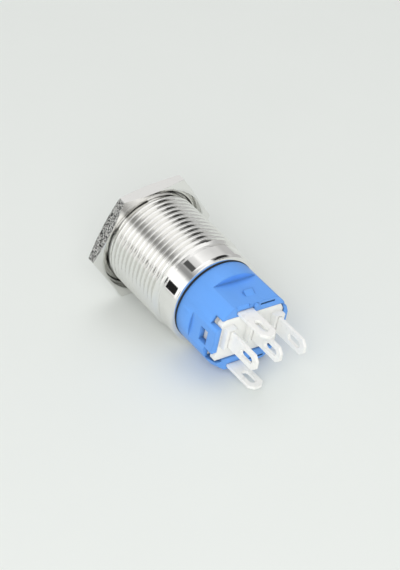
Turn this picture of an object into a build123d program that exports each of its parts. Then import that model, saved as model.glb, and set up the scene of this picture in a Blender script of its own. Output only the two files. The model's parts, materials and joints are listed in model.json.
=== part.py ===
from build123d import *

import os
from math import asin, cos, degrees, pi, radians, sin, tan

# Latching push button switch for a 16 mm panel hole, with a ring light.
# The switch's axis is Y: the button faces -Y and the solder lugs point to +Y.
# The origin is on the axis, in the rear face of the nut, where the panel sits.
# +Z is up. The nut stands on a flat, and the switch is turned a little inside it.
# Every size is in millimetres.

# ---- clearances
SLIP = 0.05            # between pieces that are pushed together
RUNNING = 0.1          # around what slides or turns
TOUCH = 0.04           # between contacts, springs and what they bear on

# ---- threaded barrel
THREAD_R = 8.0         # crest of the M16 x 1 thread
THREAD_DEPTH = 0.3     # from the crest to the pitch line, where the nut runs
THREAD_LENGTH = 12.9   # behind the nut's rear face
UNDERCUT_DEPTH = 0.55  # of the groove behind the thread, below the crest
UNDERCUT_LENGTH = 0.7
BAND_LENGTH = 1.8      # smooth band behind the groove
RIM_STEP = 0.4         # from the band down to the rear rim
RIM_LENGTH = 0.6
BARREL_WALL = 1.1      # under the pitch line
LIP_STEP = 0.4         # of the inward lip at the front
LIP_LENGTH = 1.0
BARREL_PROUD = 0.45    # how far the barrel stands out in front of the nut
EDGE = 0.3             # chamfer on turned edges

# ---- mounting nut
NUT_WALL = 1.4         # from the thread's crest to a flat
NUT_THICKNESS = 2.1
NUT_CHAMFER_INSET = 0.05  # from a flat in to the circle where the corner chamfer starts
NUT_CHAMFER_ANGLE = 15.0
NUT_SINK_INSET = 0.35  # from a flat in to the mouth of the countersink
NUT_SINK_ANGLE = 30.0
BODY_TURN = 8.8        # degrees from the nut's flat to the housing's flat

# ---- button
TRAVEL = 2.8           # full travel of the button
LATCH_BACK = 0.6       # how far the button comes back from full travel to where it is held
BUTTON_PROUD = 2.6     # how far the button stands out of the barrel at rest
CAP_WALL = 0.6
CAP_FACE = 0.8
CAP_LENGTH = 5.0
CAP_DISH = 0.25        # hollow in the middle of the button's face
FLANGE_STEP = 0.45     # shoulder that keeps the button in
FLANGE_LENGTH = 0.6
SEAL_WIRE_R = 0.35
SEAL_BACK = 1.9        # from the button's rear end to the seal

# ---- ring light
GUIDE_WALL = 0.65      # between the button and the barrel's lip
GUIDE_PROUD = 0.15
LAMP_ROOM = 1.35       # from the pressed button to the rear end of the light guide
LED_SIZE = (1.6, 0.42, 0.9)    # along the ring, along the axis, across the ring
LED_GAP = 0.08         # between the lamps and the light guide
LED_COUNT = 4
BOARD_THICKNESS = 0.8
BOARD_RING = 2.2       # width of the board's ring
RESISTOR_SIZE = (1.6, 0.4, 0.8)
RESISTOR_ANGLE = 225.0

# ---- rear housing
HOUSING_STEP = 0.3     # from the barrel's rim in to the housing
GASKET_LENGTH = 0.25   # black seal between the barrel's rim and the housing
FRONT_WALL = 1.2       # wall of the spigot that the stem passes through
ROUND_LENGTH = 3.05    # from the gasket to the flats
HOUSING_LENGTH = 8.45  # from the gasket to the rear edge of the top wall
FLAT_STEP_Z = 1.2      # depth of the flat above
FLAT_STEP_BELOW = 1.6  # depth of the flat below
FLAT_STEP_X = 0.38     # depth of the flats at the sides
TAB_PROUD = 0.15       # how far the side tabs pass the top wall
SILL_PROUD = 0.3       # how far the bottom wall passes the top wall
TAB_TOP_Z = (3.6, 2.8) # of the tabs at -X and +X
TAB_BOTTOM_Z = -1.55
NOTCH_DEPTH = 1.65     # of the notches beside the side tabs
NOTCH_TOP_Z = 4.05
NOTCH_BOTTOM_Z = -3.6
NOTCH_REACH = 1.2      # how far the notches reach in past the insert's sides
TAPER_LENGTH = 1.7     # over which the corners of the bottom wall narrow towards the rear
TAPER_STEP = 0.55
KEYWAY_Z = (0.9, 1.85) # groove inside the tab at -X
KEYWAY_DEPTH = 0.35
KEYWAY_LENGTH = 0.9
WINDOW_BACK = 1.55     # from the rear edge of the top wall to the windows in the side tabs
WINDOW_LENGTH = 1.65
WINDOW_Z = (-1.15, 1.25)
CATCH_X = (-1.1, 0.55) # wedge on the top wall that falls towards the rear
CATCH_BACK = 1.6       # from the rear edge of the top wall
CATCH_LENGTH = 1.1
CATCH_HEIGHT = 0.5
CATCH_LAND = 0.12      # flat top of the wedge
SLIT_X = (-3.6, -1.0)  # sink slit moulded into the rear edge of the top wall
SLIT_HEIGHT = 0.3
SLIT_DEPTH = 1.2
SLIT_COVER = 0.45      # of wall between the slit and the flat
BOSS_RISE = 0.1        # from the middle of the slit up to the round boss beside it
BOSS_R = 0.45
BOSS_PROUD = 0.3
LEAD_X = (1.1, 3.5)    # sloped lead over the upper lamp lug
LEAD_LENGTH = 0.35
LEAD_HEIGHT = 0.5
MOULD_EDGE = 0.15      # softened edges of the mouldings

# ---- terminal insert
INSERT_LENGTH = 5.5
INSERT_SIDE_WALL = 0.97    # from the insert to the side flats
INSERT_TOP_WALL = 1.72     # from the insert to the top flat
INSERT_BOTTOM_WALL = 2.5   # from the insert to the bottom flat
INSERT_ROUND_WALL = 0.55   # from the insert's corners to the housing's round
COLLAR_WALL = 0.6          # collars round the three contact lugs on the insert's rear face
COLLAR_RISE = 0.3
COLLAR_PROUD = 1.1
RELIEF_DEPTH = 0.6         # cuts behind the insert's corners, at the front of the notches
RELIEF_LENGTH = 0.55
SNAP_LENGTH = 0.9          # wedges that snap into the windows
SNAP_REACH = 0.72
SNAP_CLEAR = 0.2

# ---- terminals
LUG_WIDTH = 2.8
LUG_THICKNESS = 0.5
LUG_REACH = 7.4        # of the three contact lugs behind the insert
LAMP_LUG_REACH = 6.2   # of the two lamp lugs
LUG_CHAMFER = 0.75
LUG_COIN = 0.07        # coined edges of a lug
LUG_HOLE_WIDTH = 1.2
LUG_HOLE_LENGTH = 2.8
LUG_HOLE_BACK = 2.3    # from the tip to the middle of the hole
ROW_PITCH = 4.4        # between the three contact lugs
ROW_Z = 1.2
LAMP_LUG_X = 1.8
LAMP_LUG_COVER = 1.05  # from the middle of a lamp lug to the flat over it
TAIL_WIDTH = 1.2
PIN_WIDTH = 0.6        # of the pin at the tail's end
PIN_PROUD = 0.2        # how far the pin passes the lamp board

# ---- plunger
STEM_R = 1.9
BLOCK_FRONT_GAP = 0.4  # from the spigot's wall to the cam block at rest
BLOCK_REAR_GAP = 0.5   # from the pressed cam block to the blade
BLOCK_X = 2.6          # half width of the cam block
BLOCK_Z = 2.0          # half height of the cam block
CAM_DEPTH = 0.8
CAM_REACH = 1.6        # sideways reach of the heart cam
CAM_WIDTH = 0.95
CAM_MARGIN = 0.925     # of the block in front of the heart cam
POCKET_WALL = 0.525    # between the heart cam and the spring's pocket

# ---- latch
PIN_R = 0.3
PIN_RISE = 0.75        # from the top of the cam block to the middle of the wire
PIN_PIVOT_LENGTH = 0.95
PIVOT_FORWARD = 0.6    # from the insert forward to the pivot
LEAF_THICKNESS = 0.15
LEAF_WIDTH = 1.6
LEAF_FOOT = 1.6        # flat end that lies under the housing's ceiling
LEAF_SLOPE = 2.2
LEAF_PRESS = 0.6       # flat that presses on the latch pin

# ---- change-over contact
COMMON_REACH = 1.36    # of the common terminal's knife edge in front of the insert
BLADE_THICKNESS = 0.3
BLADE_WIDTH = 2.0
BLADE_MARGIN = 0.1     # of the blade beyond its contacts
BLADE_TILT = 3.5       # degrees each way
CHAMBER_ROOM = 1.5     # in front of the blade
CONTACT_INSET = 0.5    # from an end lug in to its contact
CONTACT_R = 0.7
CONTACT_HEIGHT = 0.35
CONTACT_DOME = 0.12    # crowned part of a contact's height
CONTACT_SPRING_X = 1.5
CONTACT_SPRING_Z = 0.9
BIAS_OUTSET = 0.2      # of the bias spring from the closed contact
BIAS_POCKET_DEPTH = 3.0

# ---- springs: wire radius and turns
SPRING_STEPS = 16      # straight runs in a turn
RETURN_WIRE_R = 0.2
RETURN_TURNS = 5
RETURN_INSET = 0.75    # from the board's bore in to the middle of the wire
CONTACT_SPRING = (0.7, 0.11, 6)    # mean radius, wire radius, turns
BIAS_SPRING = (0.6, 0.1, 6)

# ---- sizes along the axis that follow from the ones above
NUT_FRONT_Y = -NUT_THICKNESS
BARREL_FRONT_Y = NUT_FRONT_Y - BARREL_PROUD
LIP_REAR_Y = BARREL_FRONT_Y + LIP_LENGTH
GROOVE_END_Y = THREAD_LENGTH + UNDERCUT_LENGTH
BAND_END_Y = GROOVE_END_Y + BAND_LENGTH
BARREL_REAR_Y = BAND_END_Y + RIM_LENGTH
SHOULDER_Y = BARREL_REAR_Y + GASKET_LENGTH
FLAT_START_Y = SHOULDER_Y + ROUND_LENGTH
WALL_END_Y = SHOULDER_Y + HOUSING_LENGTH
SILL_END_Y = WALL_END_Y + SILL_PROUD
TAB_END_Y = WALL_END_Y + TAB_PROUD
SHELL_END_Y = max(TAB_END_Y, SILL_END_Y)
NOTCH_FRONT_Y = WALL_END_Y - NOTCH_DEPTH
WINDOW_Y = (WALL_END_Y - WINDOW_BACK - WINDOW_LENGTH, WALL_END_Y - WINDOW_BACK)
CATCH_Y = (WALL_END_Y - CATCH_BACK - CATCH_LENGTH, WALL_END_Y - CATCH_BACK)
COLLAR_END_Y = WALL_END_Y + COLLAR_PROUD
INSERT_FRONT_Y = WALL_END_Y - INSERT_LENGTH
LUG_END_Y = WALL_END_Y + LUG_REACH
LAMP_LUG_END_Y = WALL_END_Y + LAMP_LUG_REACH
CAP_FRONT_Y = BARREL_FRONT_Y - BUTTON_PROUD
CAP_REAR_Y = CAP_FRONT_Y + CAP_LENGTH
FLANGE_FRONT_Y = CAP_REAR_Y - FLANGE_LENGTH
SEAL_Y = CAP_REAR_Y - SEAL_BACK
GUIDE_REAR_Y = CAP_REAR_Y + TRAVEL + LAMP_ROOM
BOARD_FRONT_Y = GUIDE_REAR_Y + LED_GAP + LED_SIZE[1]
BOARD_REAR_Y = BOARD_FRONT_Y + BOARD_THICKNESS
SPIGOT_FRONT_Y = BOARD_REAR_Y + RUNNING
SPIGOT_WALL_Y = SPIGOT_FRONT_Y + FRONT_WALL
FULCRUM_Y = INSERT_FRONT_Y - COMMON_REACH - TOUCH
BLADE_FRONT_Y = FULCRUM_Y - BLADE_THICKNESS
CHAMBER_FRONT_Y = BLADE_FRONT_Y - CHAMBER_ROOM
BIAS_POCKET_Y = CHAMBER_FRONT_Y - BIAS_POCKET_DEPTH
BLOCK_FRONT_Y = SPIGOT_WALL_Y + BLOCK_FRONT_GAP
BLOCK_REAR_Y = BLADE_FRONT_Y - TRAVEL - BLOCK_REAR_GAP
CAM_START_Y = BLOCK_FRONT_Y + CAM_MARGIN + CAM_WIDTH / 2 + TRAVEL
CONTACT_POCKET_Y = CAM_START_Y + CAM_WIDTH / 2 + POCKET_WALL
PIVOT_Y = INSERT_FRONT_Y - PIVOT_FORWARD
PIN_LENGTH = PIVOT_Y - CAM_START_Y
TAB_FRONT_Y = INSERT_FRONT_Y - LUG_THICKNESS

# ---- sizes across the axis that follow from the ones above
NECK_R = THREAD_R - THREAD_DEPTH
UNDERCUT_R = THREAD_R - UNDERCUT_DEPTH
BAND_R = NECK_R
RIM_R = BAND_R - RIM_STEP
BORE_R = NECK_R - BARREL_WALL
LIP_R = BORE_R - LIP_STEP
NUT_FLATS = 2 * (THREAD_R + NUT_WALL)
NUT_CHAMFER_R = NUT_FLATS / 2 - NUT_CHAMFER_INSET
NUT_SINK_R = NUT_FLATS / 2 - NUT_SINK_INSET
SLIDE_R = LIP_R - SLIP - GUIDE_WALL
CAP_R = SLIDE_R - RUNNING
FLANGE_R = CAP_R + FLANGE_STEP
SEAL_R = SLIDE_R - SLIP - SEAL_WIRE_R
SEAL_GROOVE_R = SEAL_R - SEAL_WIRE_R - SLIP
CAP_INNER_R = SEAL_GROOVE_R - CAP_WALL
SPIGOT_R = BORE_R - SLIP
BOARD_BORE_R = SPIGOT_R - BOARD_RING
RETURN_SPRING = (BOARD_BORE_R - RETURN_INSET, RETURN_WIRE_R, RETURN_TURNS)
HOUSING_R = RIM_R - HOUSING_STEP
FLAT_Z = HOUSING_R - FLAT_STEP_Z
FLAT_BOTTOM_Z = FLAT_STEP_BELOW - HOUSING_R
FLAT_X = HOUSING_R - FLAT_STEP_X
INSERT_X = FLAT_X - INSERT_SIDE_WALL
INSERT_TOP_Z = FLAT_Z - INSERT_TOP_WALL
INSERT_BOTTOM_Z = INSERT_BOTTOM_WALL - FLAT_Z
INSERT_R = HOUSING_R - INSERT_ROUND_WALL
LAMP_LUG_Z = FLAT_Z - LAMP_LUG_COVER
BOSS_X = LAMP_LUG_X - LUG_WIDTH / 2 - BOSS_R
PIN_Z = BLOCK_Z + PIN_RISE
LEAF_Z = PIN_Z + PIN_R + TOUCH
CEILING_Z = LEAF_Z + 2 * LEAF_THICKNESS
CONTACT_X = ROW_PITCH - CONTACT_INSET
BIAS_SPRING_X = -CONTACT_X - BIAS_OUTSET
BLADE_LENGTH = 2 * (CONTACT_X + CONTACT_R + BLADE_MARGIN)
SWING_AT_CONTACT = CONTACT_X * sin(radians(BLADE_TILT))
CONTACT_Y = FULCRUM_Y + CONTACT_HEIGHT + SWING_AT_CONTACT + TOUCH


# ---- helpers

def turned(*outline):
    """A solid turned about the switch's axis from (radius, y) points."""
    return revolve(make_face(Polyline(*outline, close=True)), Axis.Y)


def block(x, y, z):
    """A rectangular block between the two ends given for each axis."""
    size = (x[1] - x[0], y[1] - y[0], z[1] - z[0])
    middle = ((x[0] + x[1]) / 2, (y[0] + y[1]) / 2, (z[0] + z[1]) / 2)
    return Pos(*middle) * Box(*size)


def rod(radius, x, z, y):
    """A round rod or hole along Y at (x, z), between the two ends in y."""
    length = y[1] - y[0]
    return Pos(x, (y[0] + y[1]) / 2, z) * Rot(90, 0, 0) * Cylinder(radius, length)


def along_y(y, x=0.0, z=0.0):
    """The place that turns a shape drawn up Z so that it points along +Y."""
    return Pos(x, y, z) * Rot(-90, 0, 0)


def coil(spring, front_y, rear_y, x=0.0, z=0.0):
    """A compression spring between two seats on a line along Y, its wire in short straight runs."""
    mean_r, wire_r, turns = spring
    height = rear_y - front_y - 2 * (wire_r + TOUCH)
    runs = turns * SPRING_STEPS
    corners = []
    for index in range(runs + 1):
        angle = 2 * pi * index / SPRING_STEPS
        corners.append((mean_r * cos(angle), mean_r * sin(angle), height * index / runs))
    path = Polyline(*corners)
    section = Plane(origin=path @ 0, z_dir=path % 0) * RegularPolygon(wire_r, 6)
    wire = sweep(section, path, transition=Transition.RIGHT)
    return along_y(front_y + wire_r + TOUCH, x, z) * wire


# ---- metal body

def barrel():
    return turned(
        (LIP_R, BARREL_FRONT_Y),
        (NECK_R - EDGE, BARREL_FRONT_Y),
        (NECK_R, BARREL_FRONT_Y + EDGE),
        (NECK_R, 0),
        (THREAD_R, 0),
        (THREAD_R, THREAD_LENGTH),
        (UNDERCUT_R, THREAD_LENGTH + EDGE / 2),
        (UNDERCUT_R, GROOVE_END_Y),
        (BAND_R, GROOVE_END_Y + EDGE / 3),
        (BAND_R, BAND_END_Y - EDGE / 2),
        (BAND_R - EDGE / 2, BAND_END_Y),
        (RIM_R, BAND_END_Y),
        (RIM_R, BARREL_REAR_Y - EDGE / 3),
        (RIM_R - EDGE / 3, BARREL_REAR_Y),
        (BORE_R, BARREL_REAR_Y),
        (BORE_R, LIP_REAR_Y),
        (LIP_R, LIP_REAR_Y),
    )


def mounting_nut():
    hexagon = RegularPolygon(NUT_FLATS / 2, 6, major_radius=False, rotation=0)
    prism = along_y(NUT_FRONT_Y) * extrude(hexagon, NUT_THICKNESS)
    half = NUT_THICKNESS / 2
    meet_r = NUT_CHAMFER_R + half / tan(radians(NUT_CHAMFER_ANGLE))
    chamfers = turned(
        (0, NUT_FRONT_Y),
        (NUT_CHAMFER_R, NUT_FRONT_Y),
        (meet_r, NUT_FRONT_Y + half),
        (NUT_CHAMFER_R, 0),
        (0, 0),
    )
    bore_r = NECK_R + SLIP
    sink_depth = (NUT_SINK_R - bore_r) * tan(radians(NUT_SINK_ANGLE))
    bore = turned(
        (0, NUT_FRONT_Y),
        (bore_r + EDGE, NUT_FRONT_Y),
        (bore_r, NUT_FRONT_Y + EDGE),
        (bore_r, -sink_depth),
        (NUT_SINK_R, 0),
        (0, 0),
    )
    return prism & chamfers - bore


# ---- button

def button_cap():
    groove_half = SEAL_WIRE_R + SLIP
    rim_r = CAP_R - 2 * EDGE
    dish_r = (rim_r**2 + CAP_DISH**2) / (2 * CAP_DISH)
    body = turned(
        (0, CAP_FRONT_Y),
        (CAP_R - EDGE, CAP_FRONT_Y),
        (CAP_R, CAP_FRONT_Y + EDGE),
        (CAP_R, SEAL_Y - groove_half),
        (SEAL_GROOVE_R, SEAL_Y - groove_half),
        (SEAL_GROOVE_R, SEAL_Y + groove_half),
        (CAP_R, SEAL_Y + groove_half),
        (CAP_R, FLANGE_FRONT_Y),
        (FLANGE_R, FLANGE_FRONT_Y),
        (FLANGE_R, CAP_REAR_Y),
        (CAP_INNER_R, CAP_REAR_Y),
        (CAP_INNER_R, CAP_FRONT_Y + CAP_FACE + CAP_DISH),
        (0, CAP_FRONT_Y + CAP_FACE + CAP_DISH),
    )
    return body - Pos(0, CAP_FRONT_Y + CAP_DISH - dish_r, 0) * Sphere(dish_r)


def cap_seal():
    section = Pos(SEAL_R, SEAL_Y) * RegularPolygon(SEAL_WIRE_R, 6)
    return revolve(section, Axis.Y)


def heart_path():
    """The four corners that the latch pin's tip visits, as (x, y) on the cam block at rest."""
    start = (0, CAM_START_Y)
    full = (CAM_REACH, CAM_START_Y - TRAVEL)
    held = (0, CAM_START_Y - TRAVEL + LATCH_BACK)
    back = (-CAM_REACH, CAM_START_Y - TRAVEL)
    return [start, full, held, back, start]


def heart_cam():
    """The groove round the heart, cut down into the top of the cam block."""
    corners = heart_path()
    groove = Sketch()
    for a, b in zip(corners, corners[1:]):
        groove += SlotCenterPoint(
            ((a[0] + b[0]) / 2, (a[1] + b[1]) / 2), b, CAM_WIDTH
        )
    return Pos(0, 0, BLOCK_Z - CAM_DEPTH) * extrude(groove, CAM_DEPTH)


def button_stem():
    boss_r = CAP_INNER_R - SLIP
    boss_front = CAP_FRONT_Y + CAP_FACE + CAP_DISH + SLIP
    post = turned(
        (0, boss_front),
        (boss_r - EDGE, boss_front),
        (boss_r, boss_front + EDGE),
        (boss_r, CAP_REAR_Y),
        (STEM_R, CAP_REAR_Y),
        (STEM_R, BLOCK_FRONT_Y),
        (0, BLOCK_FRONT_Y),
    )
    cam_block = block(
        (-BLOCK_X, BLOCK_X), (BLOCK_FRONT_Y, BLOCK_REAR_Y), (-BLOCK_Z, BLOCK_Z)
    )
    cam_block = chamfer(cam_block.edges().filter_by(Axis.Y), EDGE)
    pocket_r = CONTACT_SPRING[0] + CONTACT_SPRING[1] + RUNNING
    pocket = rod(
        pocket_r, CONTACT_SPRING_X, CONTACT_SPRING_Z, (CONTACT_POCKET_Y, BLOCK_REAR_Y)
    )
    return post + cam_block - heart_cam() - pocket


def return_spring():
    return coil(RETURN_SPRING, CAP_REAR_Y, SPIGOT_FRONT_Y)


# ---- ring light

def light_guide():
    nose_r = LIP_R - SLIP
    body_r = BORE_R - SLIP
    room_r = FLANGE_R + RUNNING
    stop_y = FLANGE_FRONT_Y - SLIP
    return turned(
        (SLIDE_R, BARREL_FRONT_Y - GUIDE_PROUD),
        (nose_r - EDGE / 3, BARREL_FRONT_Y - GUIDE_PROUD),
        (nose_r, BARREL_FRONT_Y),
        (nose_r, LIP_REAR_Y + SLIP),
        (body_r, LIP_REAR_Y + SLIP),
        (body_r, GUIDE_REAR_Y),
        (room_r, GUIDE_REAR_Y),
        (room_r, stop_y),
        (SLIDE_R, stop_y),
    )


def lamp_pin_hole(side, y, grow):
    half = PIN_WIDTH / 2 + grow
    thick = LUG_THICKNESS / 2 + grow
    middle = side * LAMP_LUG_Z
    return block(
        (LAMP_LUG_X - half, LAMP_LUG_X + half), y, (middle - thick, middle + thick)
    )


def led_board():
    board = turned(
        (BOARD_BORE_R, BOARD_FRONT_Y),
        (SPIGOT_R, BOARD_FRONT_Y),
        (SPIGOT_R, BOARD_REAR_Y),
        (BOARD_BORE_R, BOARD_REAR_Y),
    )
    for side in (1, -1):
        board -= lamp_pin_hole(side, (BOARD_FRONT_Y, BOARD_REAR_Y), SLIP)
    return board


def on_board(angle, size):
    """A small part that stands on the front of the lamp board at this angle."""
    radius = SPIGOT_R - size[2] / 2 - SLIP
    seat = Rot(0, -angle, 0) * Pos(radius, BOARD_FRONT_Y - size[1] / 2, 0)
    return seat * Rot(0, 90, 0) * Box(*size)


def led(index):
    return on_board(index * 360 / LED_COUNT, LED_SIZE)


def led_resistor():
    return on_board(RESISTOR_ANGLE, RESISTOR_SIZE)


# ---- rear housing and its insert

def corner_gap(x_sign, z, front_y, rear_y):
    """The space of a notch between a side tab and the wall above or below it."""
    inner = INSERT_X - NOTCH_REACH
    x = sorted((x_sign * inner, x_sign * (HOUSING_R + 1)))
    return block(x, (front_y, rear_y), z)


def notch_heights(side):
    """The ranges along Z of the two notches beside a tab."""
    tab_top_z = TAB_TOP_Z[side > 0]
    return (tab_top_z, NOTCH_TOP_Z), (NOTCH_BOTTOM_Z, TAB_BOTTOM_Z)


def insert_section(grow):
    """Outline of the insert across the axis, made larger all round by grow."""
    width = 2 * (INSERT_X + grow)
    height = INSERT_TOP_Z - INSERT_BOTTOM_Z + 2 * grow
    middle = (INSERT_TOP_Z + INSERT_BOTTOM_Z) / 2
    flat = Pos(0, middle) * Rectangle(width, height)
    return flat & Circle(INSERT_R + grow)


def insert_prism(front_y, rear_y, grow=0.0):
    """The insert's outline carried along the axis."""
    section = mirror(insert_section(grow), Plane.XZ)
    return along_y(front_y) * extrude(section, rear_y - front_y)


def lamp_channel(side):
    """The slot in which a lamp lug and its tail lie, above or below the insert."""
    thick = LUG_THICKNESS / 2 + SLIP
    middle = side * LAMP_LUG_Z
    tail = TAIL_WIDTH / 2 + SLIP
    lug = LUG_WIDTH / 2 + SLIP
    z = (middle - thick, middle + thick)
    narrow = block(
        (LAMP_LUG_X - tail, LAMP_LUG_X + tail), (SPIGOT_FRONT_Y, WALL_END_Y), z
    )
    wide = block(
        (LAMP_LUG_X - lug, LAMP_LUG_X + lug), (NOTCH_FRONT_Y - 1, SHELL_END_Y), z
    )
    return narrow + wide


def top_catch():
    """The wedge on the top wall, which falls towards the rear."""
    base_z = FLAT_Z - SLIP
    top_z = FLAT_Z + CATCH_HEIGHT
    side_view = Polyline(
        (CATCH_Y[0], base_z),
        (CATCH_Y[0], top_z),
        (CATCH_Y[0] + CATCH_LAND, top_z),
        (CATCH_Y[1], base_z),
        close=True,
    )
    middle = (CATCH_X[0] + CATCH_X[1]) / 2
    half = (CATCH_X[1] - CATCH_X[0]) / 2
    return Pos(middle, 0, 0) * extrude(Plane.YZ * make_face(side_view), half, both=True)


def rear_slit(side):
    """The slit in the rear edge of the top or bottom wall."""
    end_y = WALL_END_Y if side > 0 else SILL_END_Y
    cover_z = FLAT_Z - SLIT_COVER if side > 0 else FLAT_BOTTOM_Z + SLIT_COVER
    z = sorted((cover_z, cover_z - side * SLIT_HEIGHT))
    return block(SLIT_X, (end_y - SLIT_DEPTH, end_y), z)


def lamp_lead():
    """The sloped lead cut off the top wall over the upper lamp lug."""
    front_y = WALL_END_Y - LEAD_LENGTH
    side_view = Polyline(
        (front_y, FLAT_Z),
        (WALL_END_Y, FLAT_Z - LEAD_HEIGHT),
        (WALL_END_Y, FLAT_Z),
        close=True,
    )
    middle = (LEAD_X[0] + LEAD_X[1]) / 2
    half = (LEAD_X[1] - LEAD_X[0]) / 2
    return Pos(middle, 0, 0) * extrude(Plane.YZ * make_face(side_view), half, both=True)


def bottom_taper():
    """What narrows the corners of the bottom wall towards the rear."""
    slope = TAPER_STEP / TAPER_LENGTH
    start_y = SILL_END_Y - TAPER_LENGTH - 1
    end_y = SILL_END_Y + 1
    far = 2 * HOUSING_R
    ring = turned(
        (HOUSING_R + slope, start_y),
        (HOUSING_R - TAPER_STEP - slope, end_y),
        (far, end_y),
        (far, start_y),
    )
    space = block((-far, far), (NOTCH_FRONT_Y + EDGE / 2, end_y), (-far, NOTCH_BOTTOM_Z + EDGE))
    return ring & space


def housing_shell():
    """The outside of the housing: a round spigot and shoulder, then four flats and their walls."""
    body = turned(
        (0, SPIGOT_FRONT_Y),
        (SPIGOT_R - EDGE, SPIGOT_FRONT_Y),
        (SPIGOT_R, SPIGOT_FRONT_Y + EDGE),
        (SPIGOT_R, SHOULDER_Y),
        (HOUSING_R, SHOULDER_Y),
        (HOUSING_R, SHELL_END_Y - MOULD_EDGE),
        (HOUSING_R - MOULD_EDGE, SHELL_END_Y),
        (0, SHELL_END_Y),
    )
    far = 2 * HOUSING_R
    flats = (FLAT_START_Y, SHELL_END_Y)
    for side, tab_top_z in zip((-1, 1), TAB_TOP_Z):
        x = sorted((side * FLAT_X, side * far))
        body -= block(x, flats, (-far, far))
        x = sorted((0, side * far))
        body -= block(x, (WALL_END_Y, SHELL_END_Y), (tab_top_z, far))
    body -= block((-far, far), flats, (FLAT_Z, far))
    body -= block((-far, far), flats, (-far, FLAT_BOTTOM_Z))
    body -= block((-far, far), (SILL_END_Y, SHELL_END_Y + 1), (-far, TAB_BOTTOM_Z))
    body -= block((-far, far), (TAB_END_Y, SHELL_END_Y + 1), (TAB_BOTTOM_Z, far))
    return body + top_catch() - bottom_taper()


def rear_housing():
    body = housing_shell()
    body -= block(
        (-BLOCK_X - RUNNING, BLOCK_X + RUNNING),
        (SPIGOT_WALL_Y, CHAMBER_FRONT_Y),
        (-BLOCK_Z - RUNNING, CEILING_Z),
    )
    body -= insert_prism(CHAMBER_FRONT_Y, SHELL_END_Y, SLIP)
    body -= rod(STEM_R + RUNNING, 0, 0, (SPIGOT_FRONT_Y, SPIGOT_WALL_Y))
    bias_r = BIAS_SPRING[0] + BIAS_SPRING[1] + RUNNING
    body -= rod(bias_r, BIAS_SPRING_X, ROW_Z, (BIAS_POCKET_Y, CHAMBER_FRONT_Y))
    pivot = Pos(0, PIVOT_Y, INSERT_TOP_Z + PIN_PIVOT_LENGTH / 2)
    body -= pivot * Cylinder(PIN_R + SLIP, PIN_PIVOT_LENGTH)
    for side in (1, -1):
        body -= lamp_channel(side)
        body -= rear_slit(side)
        x = sorted((side * (INSERT_X - EDGE), side * 2 * HOUSING_R))
        body -= block(x, WINDOW_Y, WINDOW_Z)
        for z in notch_heights(side):
            body -= corner_gap(side, z, NOTCH_FRONT_Y, SHELL_END_Y)
    keyway_x = (-INSERT_X - KEYWAY_DEPTH, -INSERT_X)
    body -= block(keyway_x, (TAB_END_Y - KEYWAY_LENGTH, SHELL_END_Y), KEYWAY_Z)
    boss_z = FLAT_Z - SLIT_COVER - SLIT_HEIGHT / 2 + BOSS_RISE
    boss = rod(BOSS_R, BOSS_X, boss_z, (WALL_END_Y - SLIP, WALL_END_Y + BOSS_PROUD))
    return body - lamp_lead() + boss


def snap_wedge(side):
    """The wedge that snaps into the window of a side tab."""
    rear = WINDOW_Y[1] - SLIP
    front = rear - SNAP_LENGTH
    root = INSERT_X - EDGE
    reach = INSERT_X + SNAP_REACH
    from_above = Polyline((root, front), (INSERT_X, front), (reach, rear), (root, rear), close=True)
    height = WINDOW_Z[1] - WINDOW_Z[0] - 2 * SNAP_CLEAR
    wedge = Pos(0, 0, WINDOW_Z[0] + SNAP_CLEAR) * extrude(make_face(from_above), height)
    return wedge if side > 0 else mirror(wedge, Plane.YZ)


def terminal_insert():
    body = insert_prism(INSERT_FRONT_Y, WALL_END_Y)
    for side in (1, -1):
        body += snap_wedge(side)
        inner = INSERT_X - RELIEF_DEPTH
        x = sorted((side * inner, side * HOUSING_R))
        for z in notch_heights(side):
            body -= block(x, (NOTCH_FRONT_Y - SLIP, NOTCH_FRONT_Y + RELIEF_LENGTH), z)
    slot_x = LUG_THICKNESS / 2 + SLIP
    slot_z = LUG_WIDTH / 2 + SLIP
    collar_x = slot_x + COLLAR_WALL
    collar_z = slot_z + COLLAR_RISE
    outline = insert_prism(WALL_END_Y - SLIP, COLLAR_END_Y)
    for x in (-ROW_PITCH, 0, ROW_PITCH):
        collar = block(
            (x - collar_x, x + collar_x),
            (WALL_END_Y - SLIP, COLLAR_END_Y),
            (ROW_Z - collar_z, ROW_Z + collar_z),
        )
        body += collar & outline
    for x in (-ROW_PITCH, 0, ROW_PITCH):
        body -= block(
            (x - slot_x, x + slot_x),
            (INSERT_FRONT_Y, COLLAR_END_Y),
            (ROW_Z - slot_z, ROW_Z + slot_z),
        )
    return body


def barrel_gasket():
    return turned(
        (BORE_R, BARREL_REAR_Y),
        (HOUSING_R + SLIP, BARREL_REAR_Y),
        (HOUSING_R + SLIP, SHOULDER_Y),
        (BORE_R, SHOULDER_Y),
    )


# ---- terminals

def lug(start_y, end_y):
    """A solder lug drawn flat: its length runs along local X, its width along local Y."""
    length = end_y - start_y
    half = LUG_WIDTH / 2
    outline = Polyline(
        (0, -half),
        (length - LUG_CHAMFER, -half),
        (length, -half + LUG_CHAMFER),
        (length, half - LUG_CHAMFER),
        (length - LUG_CHAMFER, half),
        (0, half),
        close=True,
    )
    plate = extrude(make_face(outline), LUG_THICKNESS / 2, both=True)
    long_edges = plate.edges().filter_by(Plane.XY) - plate.edges().filter_by(Axis.Y)
    plate = chamfer(long_edges, LUG_COIN)
    hole = Pos(length - LUG_HOLE_BACK, 0) * SlotOverall(LUG_HOLE_LENGTH, LUG_HOLE_WIDTH)
    return plate - extrude(hole, LUG_THICKNESS, both=True)


def row_lug(x, start_y):
    place = Plane((x, start_y, ROW_Z), x_dir=(0, 1, 0), z_dir=(1, 0, 0))
    return place.location * lug(start_y, LUG_END_Y)


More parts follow.
